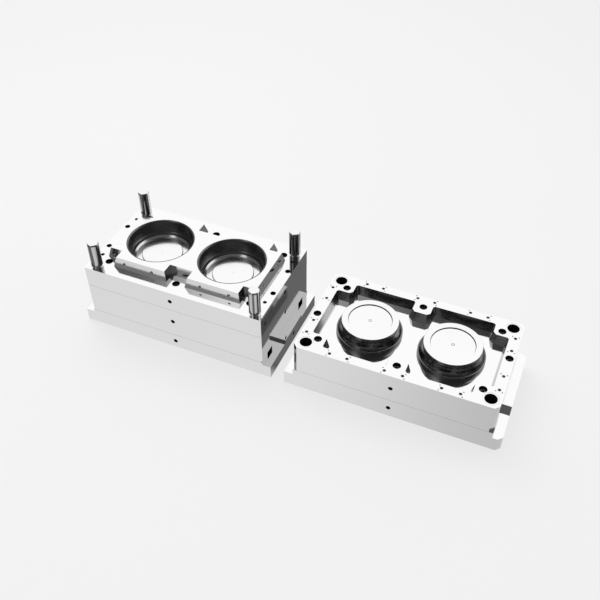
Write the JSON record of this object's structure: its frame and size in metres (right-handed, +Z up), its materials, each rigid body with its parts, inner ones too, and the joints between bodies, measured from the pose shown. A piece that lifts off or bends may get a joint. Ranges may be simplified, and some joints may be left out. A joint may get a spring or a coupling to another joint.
{
  "type": "two-cavity mould base, open",
  "caption": "Two-cavity injection mould base lying open: a cavity half with guide pillars and tapered island, and a core half with matching pocket, bushes and stripper rings.",
  "frame": {"origin": "on the floor midway between the two open halves", "axes": "+Z up out of the mating faces; +X along the long side from the cavity half to the core half; +Y to the back"},
  "size_m": [1.356, 0.35, 0.313],
  "materials": {
    "plate_steel": "ground",
    "wear_steel": "ground",
    "black_screw": "ground",
    "pillar_steel": "polished",
    "inner_steel": "ground",
    "nozzle_alloy": "plain",
    "brass_fitting": "plain",
    "cavity_polish": "polished",
    "ring_steel": "ground",
    "valve_steel": "ground",
    "seal_rubber": "plain",
    "spring_steel": "ground"
  },
  "bodies": {
    "cavity_half": {"cavity_plate": "plate_steel", "cavity_island": "plate_steel", "island_screws": "black_screw", "wear_plates_long": "wear_steel", "wear_plates_end": "wear_steel", "wear_plate_screws": "black_screw", "manifold_plate": "plate_steel", "cavity_clamp_plate": "plate_steel", "guide_pillars": "pillar_steel", "cavity_plate_screws": "black_screw", "cavity_clamp_screws": "black_screw", "cavity_dowels": "pillar_steel", "manifold": "inner_steel", "manifold_plugs": "inner_steel", "manifold_supports": "inner_steel", "hot_runner_nozzles": "nozzle_alloy", "sprue_bush": "inner_steel", "locating_ring": "plate_steel", "locating_ring_screws": "black_screw", "cooling_plug": "brass_fitting"},
    "core_half": {"core_plate": "plate_steel", "parting_pads": "wear_steel", "pad_screws": "black_screw", "core_plate_screws": "black_screw", "guide_bushes": "pillar_steel", "core_clamp_plate": "plate_steel", "core_left": "cavity_polish", "core_right": "cavity_polish", "core_screws": "black_screw", "core_seals": "seal_rubber", "valve_spring_left": "spring_steel", "valve_spring_right": "spring_steel", "core_baffles": "brass_fitting"},
    "ring_left": {"stripper_ring_left": "ring_steel"},
    "ring_right": {"stripper_ring_right": "ring_steel"},
    "valve_left": {"air_valve_left": "valve_steel"},
    "valve_right": {"air_valve_right": "valve_steel"}
  },
  "joints": [
    {"name": "core_half_lift", "type": "slide", "parent": "cavity_half", "child": "core_half", "axis": [0, 0, 1], "range_m": [0, 0.3]},
    {"name": "ring_left_stroke", "type": "slide", "parent": "core_half", "child": "ring_left", "axis": [0, 0, 1], "range_m": [0, 0.008]},
    {"name": "ring_right_stroke", "type": "slide", "parent": "core_half", "child": "ring_right", "axis": [0, 0, 1], "range_m": [0, 0.008]},
    {"name": "valve_left_stroke", "type": "slide", "parent": "core_half", "child": "valve_left", "axis": [0, 0, 1], "range_m": [0, 0.003], "stiffness_N_per_m": 2000, "springref_m": -0.004, "deforming": ["valve_spring_left"]},
    {"name": "valve_right_stroke", "type": "slide", "parent": "core_half", "child": "valve_right", "axis": [0, 0, 1], "range_m": [0, 0.003], "stiffness_N_per_m": 2000, "springref_m": -0.004, "deforming": ["valve_spring_right"]}
  ],
  "couplings": [
    {"joint": "ring_right_stroke", "follows": "ring_left_stroke", "ratio": 1}
  ]
}
